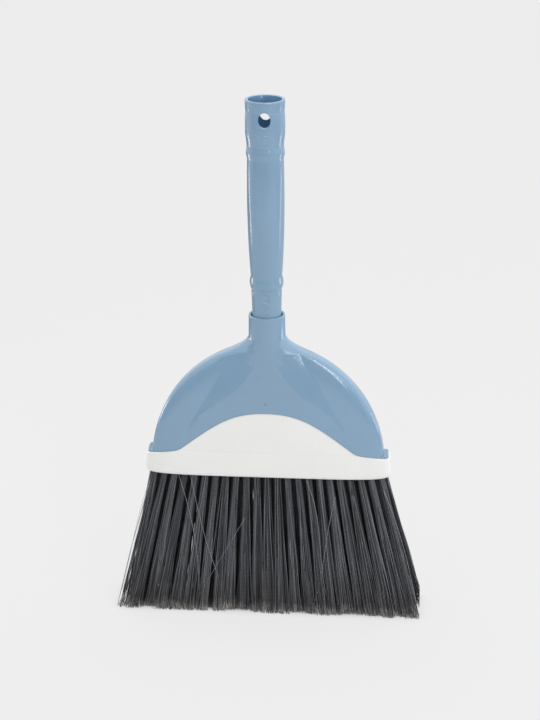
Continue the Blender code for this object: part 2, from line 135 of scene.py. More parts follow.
# Head
FIT_GAP = 0.0003
SEAM_GAP = 0.0004
OVERRUN = 0.004
BRISTLE_LENGTH = 0.1137
HEAD_HALF_WIDTH = 0.0884
HEAD_HALF_DEPTH = 0.0150
DOME_HEIGHT = 0.0961
DOME_CENTRE_RISE = 0.0066
PLATE_HALF_DEPTHS = (0.0050, 0.0138)
CREASE_HALF_WIDTHS = (0.0172, 0.0700)
FLANK_SLOPE = 0.22
PANEL_DROP = 0.0017
PANEL_DROP_LIMIT_SHARE = 0.75
PANEL_LIMIT_SHARE = 0.96
COLUMN_RISE = 0.0894
PLATE_SWELL = 0.6
PANEL_EDGE = 0.0015
NECK_RISE = 0.0067
COLLAR_HEIGHT = 0.0235
COLLAR_RADIUS = 0.0135
COLLAR_TAPER = 0.0002
COLLAR_ROUND = 0.0010
MOUTH_RADIUS = 0.0117
KINK_WIDTH_SHARE = 0.76
NECK_START_SHARE = 0.931
NECK_TANGENT_SHARE = 0.14
NECK_LEAN_SHARES = (0.114, 0.40)
CREASE_LIMIT_SHARE = 0.86
PLATE_POWERS = (7.0, 4.4)
PLATE_POWER_SHARES = (0.05, 0.20)
TUBE_POWER = 2
BLOCK_POWER = 4.5
# Places across half the head: on the panel, over its edge and along the flank
STATION_COUNTS = (12, 8, 14)
RIM_STATIONS = 24
BLOCK_STATIONS = 40
ROUND_STEPS = 6
DOME_LEVELS = 70
NECK_LEVELS = 26
SOCKET_LEAD = 0.0005
SOCKET_SIDES = 96
GATE_X = -0.0003
GATE_RISE = 0.0597
GATE_RADIUS = 0.0007
GATE_DEPTH = 0.0008
GATE_FOOT_SHARE = 0.8
GATE_SIDES = 24

# The head's front panel: (rise, half-width, how nearly it runs into the flanks without an edge)
PANEL_TABLE = (
    (0.0194, 0.0600, 0.95),
    (0.0363, 0.0570, 0.95),
    (0.0486, 0.0500, 0.95),
    (0.0558, 0.0410, 0.90),
    (0.0670, 0.0250, 0.50),
    (0.0803, 0.0137, 0.50),
    (0.0896, 0.0078, 0.60),
    (0.1040, 0.0070, 1.00),
    (0.1094, 0.0068, 1.00),
)

# Seam between cover and block
END_SEAM_RISE = 0.0142
KINK_STEP = 0.0052
ARCH_RISE = 0.0523
SEAM_HANDLE_SHARES = (0.394, 0.576, 0.313)
DROOP_POWER = 1.15
SEAM_STEPS = 48
DROOP_STEPS = 10
SEAM_SOFTENINGS = 2

# End ledges and block
LEDGE_REACH = 0.0030
LEDGE_HEIGHT = 0.0032
LEDGE_DRAFT = 0.0004
LEDGE_LIP = 0.0006
LEDGE_LIP_WALL = 0.0012
LEDGE_DEPTH_SHARE = 0.82
BLOCK_RECESS = 0.0004
BAND_BLEND = 0.010
HUMP_FOOT_DROP = 0.003
HUMP_FOOT_INSET = BLOCK_RECESS * 3
BLOCK_REACH = 0.0003
BLOCK_DRAFT = 0.0017
BLOCK_END_ROUND = 0.0028
BLOCK_FRONT_ROUND = 0.0008

# Handle
SPIGOT_RADIUS = 0.0110
SPIGOT_DEPTH = 0.0335
SPIGOT_TAPER = 0.0005
HANDLE_EXPOSED = 0.1597
BARREL_RADIUS = 0.0144
HANDLE_WALL = 0.0024
MOUTH_EDGE = 0.0005
MOUTH_EDGE_SHARE = 0.3
MOUTH_DEPTH = 0.0252
HOLE_HALF_WIDTH = 0.0044
HOLE_HALF_HEIGHT = 0.0054
HOLE_DROP = 0.0126
HOLE_CHAMFER = 0.0006
HOLE_CHAMFER_DEPTH_SHARE = 1.6
HOLE_CUTTER_FLARE = 3.0
HOLE_SIDES = 72
HANDLE_TURN = math.radians(3.0)
FACET_POWER = 3.0
FACET_LIMIT = 3
RIDGE_BLEND = 0.00013
DIMPLE_HEIGHT = 0.0148
DIMPLE_HALF_SIZES = (0.0029, 0.0033)
DIMPLE_DEPTH = 0.00070
DIMPLE_POWER = 0.5
GATE_MARK_HEIGHT = 0.1330
GATE_MARK_HALF_SIZES = (0.0023, 0.0040)
GATE_MARK_WIDTH = 0.0003
GATE_MARK_DEPTH = 0.00016
GATE_DOT_HEIGHT = 0.1363
GATE_DOT_RADIUS = 0.0004
GATE_DOT_REACH_SHARE = 0.6
PIT_RADIUS = 0.00036
PIT_DEPTH = 0.00040
PITS = (
    (-0.0020, 0.0094),
    (-0.0009, 0.0086),
    (0.0004, 0.0091),
    (0.0013, 0.0105),
    (-0.0013, 0.0072),
    (0.0002, 0.0068),
    (0.0010, 0.0079),
    (0.0003, 0.0031),
    (-0.0016, 0.0052),
)

# Rings of the handle's skin, closer together where the marks are: (from, to, count)
HANDLE_SPANS = (
    (0, 0.0205, 90),
    (0.0205, 0.1265, 170),
    (0.1265, 0.1385, 66),
    (0.1385, HANDLE_EXPOSED, 80),
)
FRONT_ANGLE = math.radians(24)
FRONT_COLUMNS = 64
OTHER_COLUMNS = 132
LIP_START_SHARE = 0.94

# Outline of the handle's sides above the socket: (share of the exposed length, of the radius)
SIDE_OUTLINE_SHARES = (
    (0.000, 0.756),
    (0.027, 0.758),
    (0.066, 0.766),
    (0.095, 0.776),
    (0.112, 0.780),
    (0.123, 0.784),
    (0.136, 0.836),
    (0.155, 0.865),
    (0.172, 0.845),
    (0.188, 0.806),
    (0.210, 0.823),
    (0.277, 0.865),
    (0.363, 0.906),
    (0.447, 0.927),
    (0.531, 0.941),
    (0.600, 0.938),
    (0.700, 0.924),
    (0.736, 0.917),
    (0.748, 0.955),
    (0.761, 0.971),
    (0.776, 0.955),
    (0.793, 0.927),
    (0.836, 0.975),
    (0.850, 0.992),
    (0.885, 1.000),
    (0.9485, 0.978),
    (0.9498, 0.971),
    (0.9511, 0.966),
    (0.9530, 0.966),
    (0.9550, 0.974),
    (0.9575, 0.981),
    (0.970, 0.990),
    (0.994, 0.999),
    (0.998, 0.992),
    (1.000, 0.972),
)
# The same for the front and back, between the facets
FRONT_OUTLINE_SHARES = (
    (0.000, 0.786),
    (0.066, 0.800),
    (0.095, 0.807),
    (0.115, 0.792),
    (0.123, 0.790),
    (0.136, 0.838),
    (0.155, 0.868),
    (0.172, 0.852),
    (0.186, 0.836),
    (0.210, 0.864),
    (0.277, 0.915),
    (0.363, 0.960),
    (0.447, 0.983),
    (0.531, 0.996),
    (0.600, 0.992),
    (0.700, 0.968),
    (0.736, 0.946),
    (0.748, 0.962),
    (0.761, 0.978),
    (0.776, 0.968),
    (0.795, 0.944),
    (0.836, 0.990),
    (0.850, 0.996),
    (0.885, 1.000),
    (0.9485, 0.978),
)
# Angle of the ridges off the handle's sides, in degrees, by share of the exposed length
RIDGE_TABLE = (
    (0.000, 45),
    (0.060, 46),
    (0.094, 42),
    (0.106, 30),
    (0.112, 8),
    (0.185, 25),
    (0.210, 35),
    (0.277, 42),
    (0.363, 45),
    (0.450, 43),
    (0.531, 39),
    (0.600, 35),
    (0.700, 30),
    (0.736, 30),
    (0.800, 37),
    (0.826, 38),
    (0.838, 33),
    (0.845, 20),
    (0.849, 6),
)

# Brush
TUFT_COLUMNS = 23
TUFT_ROWS = 4
TUFT_END_MARGIN = 0.0062
ROW_EDGE_MARGIN = 0.0056
END_ROW_REACH = 0.0050
# Radii along the broom: (outer rows, inner rows)
TUFT_ROOT_RADII = (0.0022, 0.0045)
TUFT_TIP_RADII = (0.0050, 0.0064)
TUFT_TIP_DEPTH = 0.0050
TIP_SPREAD_SHARE = 1.315
TIP_HALF_DEPTH = 0.0201
TIP_STAGGER = 0.0020
TIP_SHIFT = 0.0008
TIP_SCATTER = 0.0007
TUFT_LEAN = 0.0009
# Share of the tone left to the inner rows' filaments: painted shade between the rows
INNER_ROW_SHADE = 0.25
TONE_POWER = 1.6
FAN_POWER = 1.05
FILAMENTS = 50
FILAMENT_RADIUS = 0.00031
STRAY_SHARES = (0.85, 0.18)
WILD_SHARE = 0.06
WILD_REACH = 1.7
SWAY = 0.0004
SWAY_RUN = 9
SWAY_WEIGHTS = (1, 0.7)
ROOT_DEPTH = 0.0015
END_RADIUS_SHARE = 0.8
BOX_MARGIN = 0.0004
END_REACH_SHARE = 1.1
END_WISP_SHARE = 0.22
END_WISP_REACH = 0.004
# How far the end tufts are drawn in: (left, right)
END_PULLS = (0.0040, 0.0018)
FILAMENT_SIDES = 3
FILAMENT_RINGS = 12
FRAY_HEIGHT = 0.0055
FRAY_SHARES = (0.5, 1.7)
FRAY_RADII = (0.00031, 0.00026, 0.00018)
FRAY_START_SHARES = (0.35, 1.0)
PRONG_SPREAD = 0.0020
PRONG_ROOT_SHARE = 0.88
PRONG_LIFT = 0.0010
PRONG_BOW_SHARES = (-0.3, 0.6)
TIP_CLEARANCES = (0.0002, 0.0013)
TIP_CLEARANCE_POWER = 1.5
TUFT_LIFT = 0.0025
TUFT_LIFT_POWER = 2
CLUMP_SHARE = 0.26
# Loose hairs that cross the front: (x, z) along each one
LOOSE_HAIRS = (
    ((-0.0670, 0.1130), (-0.0610, 0.0905), (-0.0550, 0.0570), (-0.0530, 0.0130)),
    ((-0.0580, 0.1130), (-0.0475, 0.0620), (-0.0400, 0.0370), (-0.0300, 0.0020)),
    ((-0.0165, 0.0800), (-0.0310, 0.0540), (-0.0410, 0.0360), (-0.0540, 0.0110)),
    ((-0.0905, 0.1040), (-0.0985, 0.0790), (-0.1060, 0.0470), (-0.1135, 0.0160)),
    ((-0.0890, 0.1080), (-0.0975, 0.0760), (-0.1040, 0.0480), (-0.1085, 0.0230)),
    ((0.0880, 0.1060), (0.1010, 0.0700), (0.1105, 0.0340), (0.1168, 0.0040)),
    ((0.0300, 0.1120), (0.0390, 0.0760), (0.0420, 0.0420), (0.0490, 0.0060)),
    ((0.0520, 0.0990), (0.0450, 0.0600), (0.0410, 0.0300), (0.0335, 0.0040)),
)
LOOSE_HAIR_RADIUS = 0.00017
LOOSE_HAIR_RINGS = 24
LOOSE_HAIR_TONE = 1.7
LOOSE_HAIR_ROOT_INSET = 0.0020
# Distance in front of the broom's middle: (at the block, at the floor)
LOOSE_HAIR_DEPTHS = (HEAD_HALF_DEPTH - LOOSE_HAIR_ROOT_INSET, 0.0202)

TUFT_GROUPS = 5
RANDOM_SEED = 11
SMOOTH_ANGLE = math.radians(32)
GOLDEN_ANGLE = 2.39996

KINK_HALF_WIDTH = HEAD_HALF_WIDTH * KINK_WIDTH_SHARE
KINK_RISE = END_SEAM_RISE + KINK_STEP
DOME_TOP_RISE = DOME_CENTRE_RISE + DOME_HEIGHT
NECK_TOP_RISE = DOME_TOP_RISE + NECK_RISE
RIM_RISE = DOME_TOP_RISE + COLLAR_HEIGHT
COLLAR_BASE_RADIUS = COLLAR_RADIUS + COLLAR_TAPER
SPIGOT_TIP_RADIUS = SPIGOT_RADIUS - SPIGOT_TAPER
LEDGE_HALF_WIDTH = HEAD_HALF_WIDTH + LEDGE_REACH
BLOCK_HALF_WIDTH = LEDGE_HALF_WIDTH + BLOCK_REACH
HANDLE_FOOT = BRISTLE_LENGTH + RIM_RISE


# Small helpers


def mix(start, end, share):
    return start + (end - start) * share


def clamp(value):
    return min(max(value, 0), 1)


def ease(value):
    value = clamp(value)
    return value * value * (3 - 2 * value)


def rounded(share, power):
    """Height of a superellipse of unit half-axes at this share of its half-width."""
    return max(1 - min(abs(share), 1) ** power, 0) ** (1 / power)


def bezier(points, share):
    """A point of the cubic curve with these four control points."""
    rest = 1 - share
    weights = (rest**3, 3 * rest**2 * share, 3 * rest * share**2, share**3)
    return tuple(sum(w * point[axis] for w, point in zip(weights, points)) for axis in (0, 1))


def smooth_curve(table, values):
    """The table's (place, value) pairs joined by a curve that never overshoots them."""
    places, heights = np.array(table).T
    steps = np.diff(places)
    slopes = np.diff(heights) / steps
    tangents = np.zeros(len(places))
    inner = slopes[:-1] * slopes[1:] > 0
    harmonic = 2 * slopes[:-1] * slopes[1:] / np.where(inner, slopes[:-1] + slopes[1:], 1)
    tangents[1:-1] = np.where(inner, harmonic, 0)
    values = np.clip(values, places[0], places[-1])
    index = np.clip(np.searchsorted(places, values) - 1, 0, len(steps) - 1)
    share = (values - places[index]) / steps[index]
    rest = 1 - share
    return (
        heights[index] * (1 + 2 * share) * rest**2
        + heights[index + 1] * (3 - 2 * share) * share**2
        + steps[index] * share * rest * (tangents[index] * rest - tangents[index + 1] * share)
    )


def mesh_object(name, points, faces, smooth=True):
    mesh = bpy.data.meshes.new(name)
    mesh.from_pydata([tuple(point) for point in points], [], [tuple(face) for face in faces])
    work = bmesh.new()
    work.from_mesh(mesh)
    bmesh.ops.recalc_face_normals(work, faces=work.faces)
    work.to_mesh(mesh)
    work.free()
    obj = bpy.data.objects.new(name, mesh)
    bpy.context.scene.collection.objects.link(obj)
    if smooth:
        mesh.shade_smooth()
    return obj


def tube_object(name, rings, closed=False):
    """A skin through rings of equal count, capped, or closed from the last to the first."""
    count = len(rings[0])
    points = [point for ring in rings for point in ring]
    faces = []
    spans = len(rings) if closed else len(rings) - 1
    for level in range(spans):
        low = level * count
        high = (level + 1) % len(rings) * count
        for index in range(count):
            after = (index + 1) % count
            faces.append((low + index, low + after, high + after, high + index))
    if not closed:
        faces.append(tuple(reversed(range(count))))
        faces.append(tuple(range(len(points) - count, len(points))))
    return mesh_object(name, points, faces)


def cut(obj, cutter, operation="DIFFERENCE"):
    """Applies one exact boolean to the mesh and removes the cutter."""
    modifier = obj.modifiers.new(operation.lower(), "BOOLEAN")
    modifier.operation = operation
    modifier.solver = "EXACT"
    modifier.object = cutter
    settle(obj)
    bpy.data.objects.remove(cutter)


def settle(obj):
    """Replaces the mesh by its modified form and clears the modifiers."""
    graph = bpy.context.evaluated_depsgraph_get()
    mesh = bpy.data.meshes.new_from_object(obj.evaluated_get(graph))
    obj.modifiers.clear()
    old = obj.data
    obj.data = mesh
    mesh.name = obj.name
    bpy.data.meshes.remove(old)


def finish_edges(obj):
    """Smooth shading that breaks only at the sharp edges."""
    obj.data.shade_smooth()
    obj.data.set_sharp_from_angle(angle=SMOOTH_ANGLE)


# Materials


def new_material(name):
    material = bpy.data.materials.new(name)
    material.use_nodes = True
    nodes = material.node_tree.nodes
    return material, nodes, material.node_tree.links, nodes["Principled BSDF"]


def add_node(nodes, kind, **values):
    node = nodes.new(kind)
    for key, value in values.items():
        if key in node.inputs:
            node.inputs[key].default_value = value
        else:
            setattr(node, key, value)
    return node


def set_range(node, end, values):
    """Sets both ends of a range node's From or To span."""
    node.inputs[end + " Min"].default_value = values[0]
    node.inputs[end + " Max"].default_value = values[1]


def set_stops(ramp, stops):
    """Gives a colour ramp these (position, colour) stops."""
    while len(ramp.elements) < len(stops):
        ramp.elements.new(0.5)
    for element, (position, colour) in zip(ramp.elements, stops):
        element.position = position
        element.color = (*colour, 1)


def bore_shade_mask(nodes, links, place, radius, height):
    """1 within this radius of the axis above this height, where the bore gets painted shade; 0
    outside.
    """
    split = nodes.new("ShaderNodeSeparateXYZ")
    links.new(place, split.inputs["Vector"])
    flat = nodes.new("ShaderNodeCombineXYZ")
    links.new(split.outputs["X"], flat.inputs["X"])
    links.new(split.outputs["Y"], flat.inputs["Y"])
    reach = add_node(nodes, "ShaderNodeVectorMath", operation="LENGTH")
    links.new(flat.outputs["Vector"], reach.inputs[0])
    within = nodes.new("ShaderNodeMapRange")
    set_range(within, "From", (radius + BORE_BLEND, radius))
    links.new(reach.outputs["Value"], within.inputs["Value"])
    above = nodes.new("ShaderNodeMapRange")
    set_range(above, "From", (height, height + BORE_START_BLEND))
    links.new(split.outputs["Z"], above.inputs["Value"])
    both = add_node(nodes, "ShaderNodeMath", operation="MULTIPLY")
    links.new(within.outputs["Result"], both.inputs[0])
    links.new(above.outputs["Result"], both.inputs[1])
    return both.outputs["Value"]


def moulded_plastic(name, colour, roughness, mottle, grain, grain_height, bore=None):
    """Moulded plastic: faint flow mottling in the colour, uneven gloss and a fine spark grain; given
    a bore, painted shade inside it.
    """
    material, nodes, links, shader = new_material(name)
    place = nodes.new("ShaderNodeTexCoord").outputs["Object"]
    cloud = add_node(nodes, "ShaderNodeTexNoise", Scale=FLOW_SCALE, Detail=4.0, Roughness=0.6)
    links.new(place, cloud.inputs["Vector"])
    tint = nodes.new("ShaderNodeValToRGB")
    shades = [[channel * level for channel in colour] for level in (1 - mottle, 1 + mottle)]
    set_stops(tint.color_ramp, tuple(zip(NOISE_MIDDLE, shades)))
    links.new(cloud.outputs["Fac"], tint.inputs["Fac"])
    speck = add_node(nodes, "ShaderNodeTexNoise", Scale=grain, Detail=2.0, Roughness=0.5)
    links.new(place, speck.inputs["Vector"])
    fleck = nodes.new("ShaderNodeMapRange")
    set_range(fleck, "From", NOISE_MIDDLE)
    set_range(fleck, "To", (1 - mottle, 1 + mottle))
    links.new(speck.outputs["Fac"], fleck.inputs["Value"])
    shade = add_node(nodes, "ShaderNodeVectorMath", operation="SCALE")
    links.new(tint.outputs["Color"], shade.inputs[0])
    links.new(fleck.outputs["Result"], shade.inputs["Scale"])
    paint = shade.outputs["Vector"]
    # Inside the handle's mouth the colour turns to a deeper blue: painted shade
    if bore:
        bore_shade = add_node(nodes, "ShaderNodeMix", data_type="RGBA")
        links.new(bore_shade_mask(nodes, links, place, *bore), bore_shade.inputs["Factor"])
        links.new(paint, bore_shade.inputs["A"])
        bore_shade.inputs["B"].default_value = (*BORE_SHADE_BLUE, 1)
        paint = bore_shade.outputs["Result"]
    links.new(paint, shader.inputs["Base Color"])
    gloss = nodes.new("ShaderNodeMapRange")
    set_range(gloss, "To", [roughness + change for change in GLOSS_SPREAD])
    links.new(cloud.outputs["Fac"], gloss.inputs["Value"])
    links.new(gloss.outputs["Result"], shader.inputs["Roughness"])
    bump = add_node(nodes, "ShaderNodeBump", Strength=GRAIN_STRENGTH, Distance=grain_height)
    links.new(speck.outputs["Fac"], bump.inputs["Height"])
    links.new(bump.outputs["Normal"], shader.inputs["Normal"])
    shader.inputs["IOR"].default_value = PLASTIC_IOR
    return material


def filament_material():
    """Drawn filament: dark grey, lighter and browner at the split tips, darker just above them as
    painted shade, with a painted ripple of light and shade from crimps along its run.
    """
    material, nodes, links, shader = new_material("filament_grey")
    place = nodes.new("ShaderNodeTexCoord").outputs["Object"]
    split = nodes.new("ShaderNodeSeparateXYZ")
    links.new(place, split.inputs["Vector"])
    height = nodes.new("ShaderNodeMapRange")
    set_range(height, "From", (0, BRISTLE_LENGTH))
    links.new(split.outputs["Z"], height.inputs["Value"])
    run = nodes.new("ShaderNodeValToRGB")
    set_stops(run.color_ramp, FILAMENT_STOPS)
    patch = add_node(nodes, "ShaderNodeTexNoise", Scale=FILAMENT_PATCH_SCALE, Detail=3.0)
    links.new(place, patch.inputs["Vector"])
    shift = nodes.new("ShaderNodeMapRange")
    set_range(shift, "From", NOISE_MIDDLE)
    set_range(shift, "To", FILAMENT_PATCH_SHIFT)
    links.new(patch.outputs["Fac"], shift.inputs["Value"])
    level = add_node(nodes, "ShaderNodeMath", operation="ADD")
    links.new(height.outputs["Result"], level.inputs[0])
    links.new(shift.outputs["Result"], level.inputs[1])
    links.new(level.outputs["Value"], run.inputs["Fac"])
    tone = nodes.new("ShaderNodeAttribute")
    tone.attribute_name = "tone"
    spread = nodes.new("ShaderNodeMapRange")
    set_range(spread, "To", FILAMENT_TONE_SPREAD)
    spread.clamp = False
    links.new(tone.outputs["Fac"], spread.inputs["Value"])
    own_place = add_node(nodes, "ShaderNodeVectorMath", operation="ADD")
    links.new(place, own_place.inputs[0])
    links.new(tone.outputs["Fac"], own_place.inputs[1])
    # A wave up each filament that scales its colour: painted light and shade of crimps
    crimp_shading = add_node(
        nodes, "ShaderNodeTexWave", Scale=CRIMP_SHADING_SCALE, Distortion=4.0, Detail=1.0
    )
    crimp_shading.bands_direction = "Z"
    links.new(own_place.outputs["Vector"], crimp_shading.inputs["Vector"])
    ripple = nodes.new("ShaderNodeMapRange")
    set_range(ripple, "To", FILAMENT_RIPPLE)
    links.new(crimp_shading.outputs["Fac"], ripple.inputs["Value"])
    both = add_node(nodes, "ShaderNodeMath", operation="MULTIPLY")
    links.new(spread.outputs["Result"], both.inputs[0])
    links.new(ripple.outputs["Result"], both.inputs[1])
    shade = add_node(nodes, "ShaderNodeVectorMath", operation="SCALE")
    links.new(run.outputs["Color"], shade.inputs[0])
    links.new(both.outputs["Value"], shade.inputs["Scale"])
    links.new(shade.outputs["Vector"], shader.inputs["Base Color"])
    shader.inputs["Roughness"].default_value = FILAMENT_ROUGHNESS
    return material


# Head shapes


def dome_outline(levels):
    """(rise, half-width) pairs up the rim of the fan, to where the neck begins."""
    first = math.asin((END_SEAM_RISE - OVERRUN - DOME_CENTRE_RISE) / DOME_HEIGHT)
    last = math.asin(NECK_START_SHARE)
    angles = [mix(first, last, level / levels) for level in range(levels + 1)]
    return [
        (DOME_CENTRE_RISE + DOME_HEIGHT * math.sin(a), HEAD_HALF_WIDTH * math.cos(a)) for a in angles
    ]


def neck_outline(levels):
    """(rise, half-width) pairs from the fan's shoulder into the foot of the collar."""
    angle = math.asin(NECK_START_SHARE)
    rise, half_width = dome_outline(1)[-1]
    lean, drop = NECK_LEAN_SHARES
    pull = (
        rise + NECK_TANGENT_SHARE * DOME_HEIGHT * math.cos(angle),
        half_width - NECK_TANGENT_SHARE * HEAD_HALF_WIDTH * math.sin(angle),
    )
    foot = (NECK_TOP_RISE, COLLAR_BASE_RADIUS)
    below = (mix(foot[0], rise, drop), mix(foot[1], half_width, lean))
    controls = ((rise, half_width), pull, below, foot)
    return [bezier(controls, level / levels) for level in range(1, levels + 1)]


def head_stations(panel, crease, half_width):
    """Places across half the head, close together at the panel's edge and towards the rim."""
    near = min(PANEL_EDGE, panel / 2, (crease - panel) / 2)
    ends = (0, panel - near, panel + near, crease)
    spans = zip(ends, ends[1:], STATION_COUNTS)
    places = [mix(low, high, step / count) for low, high, count in spans for step in range(count)]
    turns = [math.pi / 2 * step / RIM_STATIONS for step in range(RIM_STATIONS)]
    places += [mix(crease, half_width, math.sin(turn)) for turn in turns]
    return places


def head_quarter(rise, half_width, inset):
    """(x, depth) across a quarter of the head: near flat panel, straight flank, thin fan plate."""
    share = clamp((NECK_TOP_RISE - rise) / (NECK_TOP_RISE - KINK_RISE))
    neck_start = DOME_CENTRE_RISE + DOME_HEIGHT * NECK_START_SHARE
    fan_share = ease((NECK_TOP_RISE - rise) / (NECK_TOP_RISE - neck_start))
    depth = mix(COLLAR_BASE_RADIUS, HEAD_HALF_DEPTH, share)
    plate = mix(*PLATE_HALF_DEPTHS, share**PLATE_SWELL)
    crease = mix(*CREASE_HALF_WIDTHS, share)
    crease = min(crease, half_width * CREASE_LIMIT_SHARE)
    rises, panels, tangencies = np.array(PANEL_TABLE).T
    panel = min(float(np.interp(rise, rises, panels)), crease * PANEL_LIMIT_SHARE)
    first, last = PLATE_POWER_SHARES
    plate_power = mix(*PLATE_POWERS, clamp((share - first) / (last - first)))
    lift = depth - plate
    drop = PANEL_DROP
    if rise < COLUMN_RISE:
        drop = max(drop, lift - FLANK_SLOPE * (crease - panel))
    tangency = float(np.interp(rise, rises, tangencies))
    smoothest = lift * panel / (2 * crease - panel)
    drop = min(drop, lift * PANEL_DROP_LIMIT_SHARE, tangency * smoothest)
    slope = (lift - drop) / (crease - panel)
    bow = drop / panel**2
    quarter = []
    for x in head_stations(panel, crease, half_width):
        rest = lift - bow * x**2 if x < panel else slope * (crease - x)
        fan = plate * rounded(x / half_width, plate_power) + max(rest, 0)
        tube = depth * rounded(x / half_width, TUBE_POWER)
        quarter.append((x, max(mix(tube, fan, fan_share) - inset, 0)))
    quarter.append((half_width, 0))
    return quarter


def head_ring(rise, half_width, inset=0):
    return whole_ring(head_quarter(rise, half_width, inset), rise)


def whole_ring(quarter, rise):
    """All four quarters of a section, anticlockwise from above, from the quarter at +X, -Y."""
    front = [(-x, -y) for x, y in reversed(quarter[1:])] + [(x, -y) for x, y in quarter]
    back = [(x, y) for x, y in reversed(quarter[:-1])] + [(-x, y) for x, y in quarter[1:-1]]
    return [(x, y, BRISTLE_LENGTH + rise) for x, y in front + back]


def slab_ring(rise, half_width, half_depth):
    """The block's section at this rise: a box with well rounded corners."""
    quarter = []
    for step in range(BLOCK_STATIONS):
        x = half_width * math.sin(math.pi / 2 * step / BLOCK_STATIONS)
        quarter.append((x, half_depth * rounded(x / half_width, BLOCK_POWER)))
    quarter.append((half_width, 0))
    return whole_ring(quarter, rise)


def seam_outline(shift):
    """(x, rise) points of the seam from left to right, moved up by shift."""
    near, far, drop = SEAM_HANDLE_SHARES
    apex = (0, ARCH_RISE + shift)
    kink = (KINK_HALF_WIDTH, KINK_RISE + shift)
    controls = (
        apex,
        (near * KINK_HALF_WIDTH, apex[1]),
        (far * KINK_HALF_WIDTH, mix(apex[1], kink[1], drop)),
        kink,
    )
    right = [bezier(controls, step / SEAM_STEPS) for step in range(SEAM_STEPS + 1)]
    edge = BLOCK_HALF_WIDTH + OVERRUN
    for step in range(1, DROOP_STEPS + 1):
        share = step / DROOP_STEPS
        right.append((mix(KINK_HALF_WIDTH, edge, share), kink[1] - KINK_STEP * share**DROOP_POWER))
    for _ in range(SEAM_SOFTENINGS):
        softer = [right[0]]
        for before, point, after in zip(right, right[1:], right[2:]):
            softer.append(tuple((a + 2 * b + c) / 4 for a, b, c in zip(before, point, after)))
        right = softer + [right[-1]]
    return [(-x, rise) for x, rise in reversed(right[1:])] + right


def seam_prism(name, shift, limit):
    """Everything between the seam and the level named by limit, right through the head."""
    outline = seam_outline(shift)
    edge = outline[-1][0]
    outline = outline + [(edge, limit), (-edge, limit)]
    depth = HEAD_HALF_DEPTH + OVERRUN
    rings = [[(x, y, BRISTLE_LENGTH + rise) for x, rise in outline] for y in (-depth, depth)]
    return tube_object(name, rings)


def circle(radius, height, count):
    angles = [math.tau * step / count for step in range(count)]
    return [(radius * math.sin(a), -radius * math.cos(a), height) for a in angles]


def build_cover():
    """The blue cover: fan, trumpet and collar, open at the socket and cut along the seam."""
    levels = dome_outline(DOME_LEVELS) + neck_outline(NECK_LEVELS)
    for step in range(ROUND_STEPS + 1):
        turn = math.pi / 2 * step / ROUND_STEPS
        radius = COLLAR_RADIUS - COLLAR_ROUND * (1 - math.cos(turn))
        levels.append((RIM_RISE - COLLAR_ROUND * (1 - math.sin(turn)), radius))
    cover = tube_object("cover_shell", [head_ring(rise, half_width) for rise, half_width in levels])
    floor = HANDLE_FOOT - SPIGOT_DEPTH - FIT_GAP
    levels = (
        (SPIGOT_TIP_RADIUS + FIT_GAP, floor),
        (MOUTH_RADIUS, HANDLE_FOOT - SOCKET_LEAD),
        (MOUTH_RADIUS + SOCKET_LEAD, HANDLE_FOOT),
        (MOUTH_RADIUS + SOCKET_LEAD, HANDLE_FOOT + OVERRUN),
    )
    cut(cover, tube_object("bore", [circle(*level, SOCKET_SIDES) for level in levels]))
    cut(cover, seam_prism("below_seam", 0, -OVERRUN))
    share = (NECK_TOP_RISE - GATE_RISE) / (NECK_TOP_RISE - KINK_RISE)
    face = mix(COLLAR_BASE_RADIUS, HEAD_HALF_DEPTH, share)
    gate = []
    foot = (GATE_DEPTH - face, GATE_RADIUS * GATE_FOOT_SHARE)
    for y, radius in ((-face - OVERRUN, GATE_RADIUS), foot):
        points = circle(radius, y, GATE_SIDES)
        gate.append([(x + GATE_X, y, BRISTLE_LENGTH + GATE_RISE + up) for x, up, _ in points])
    cut(cover, tube_object("gate", gate))
    finish_edges(cover)
    return cover


def build_ledges():
    """The narrow gutter with an upturned lip at each end of the cover."""
    depth = HEAD_HALF_DEPTH * LEDGE_DEPTH_SHARE
    top_width = LEDGE_HALF_WIDTH - LEDGE_DRAFT
    top = END_SEAM_RISE + LEDGE_HEIGHT
    tray = tube_object(
        "cover_ledges",
        [
            slab_ring(END_SEAM_RISE - OVERRUN, LEDGE_HALF_WIDTH, depth),
            slab_ring(END_SEAM_RISE + LEDGE_DRAFT, LEDGE_HALF_WIDTH, depth),
            slab_ring(top, top_width, depth - LEDGE_DRAFT),
        ],
    )
    trough = tube_object(
        "trough",
        [
            slab_ring(rise, top_width - LEDGE_LIP_WALL, HEAD_HALF_DEPTH + OVERRUN)
            for rise in (top - LEDGE_LIP, top + OVERRUN)
        ],
    )
    cut(tray, trough)
    cut(tray, seam_prism("below_seam", 0, -OVERRUN))
    finish_edges(tray)
    return tray


def band_top_ring():
    """The band's top: flush with the hump between the kinks and full at the ends."""
    half_width = HEAD_HALF_WIDTH * rounded((KINK_RISE - DOME_CENTRE_RISE) / DOME_HEIGHT, 2)
    places, depths = np.array(head_quarter(KINK_RISE, half_width, BLOCK_RECESS)).T
    ring = []
    for x, y, z in slab_ring(KINK_RISE, BLOCK_HALF_WIDTH, HEAD_HALF_DEPTH):
        flush = min(abs(y), float(np.interp(abs(x), places, depths)))
        share = ease((abs(x) - KINK_HALF_WIDTH) / BAND_BLEND)
        ring.append((x, math.copysign(mix(flush, abs(y), share), y), z))
    return ring


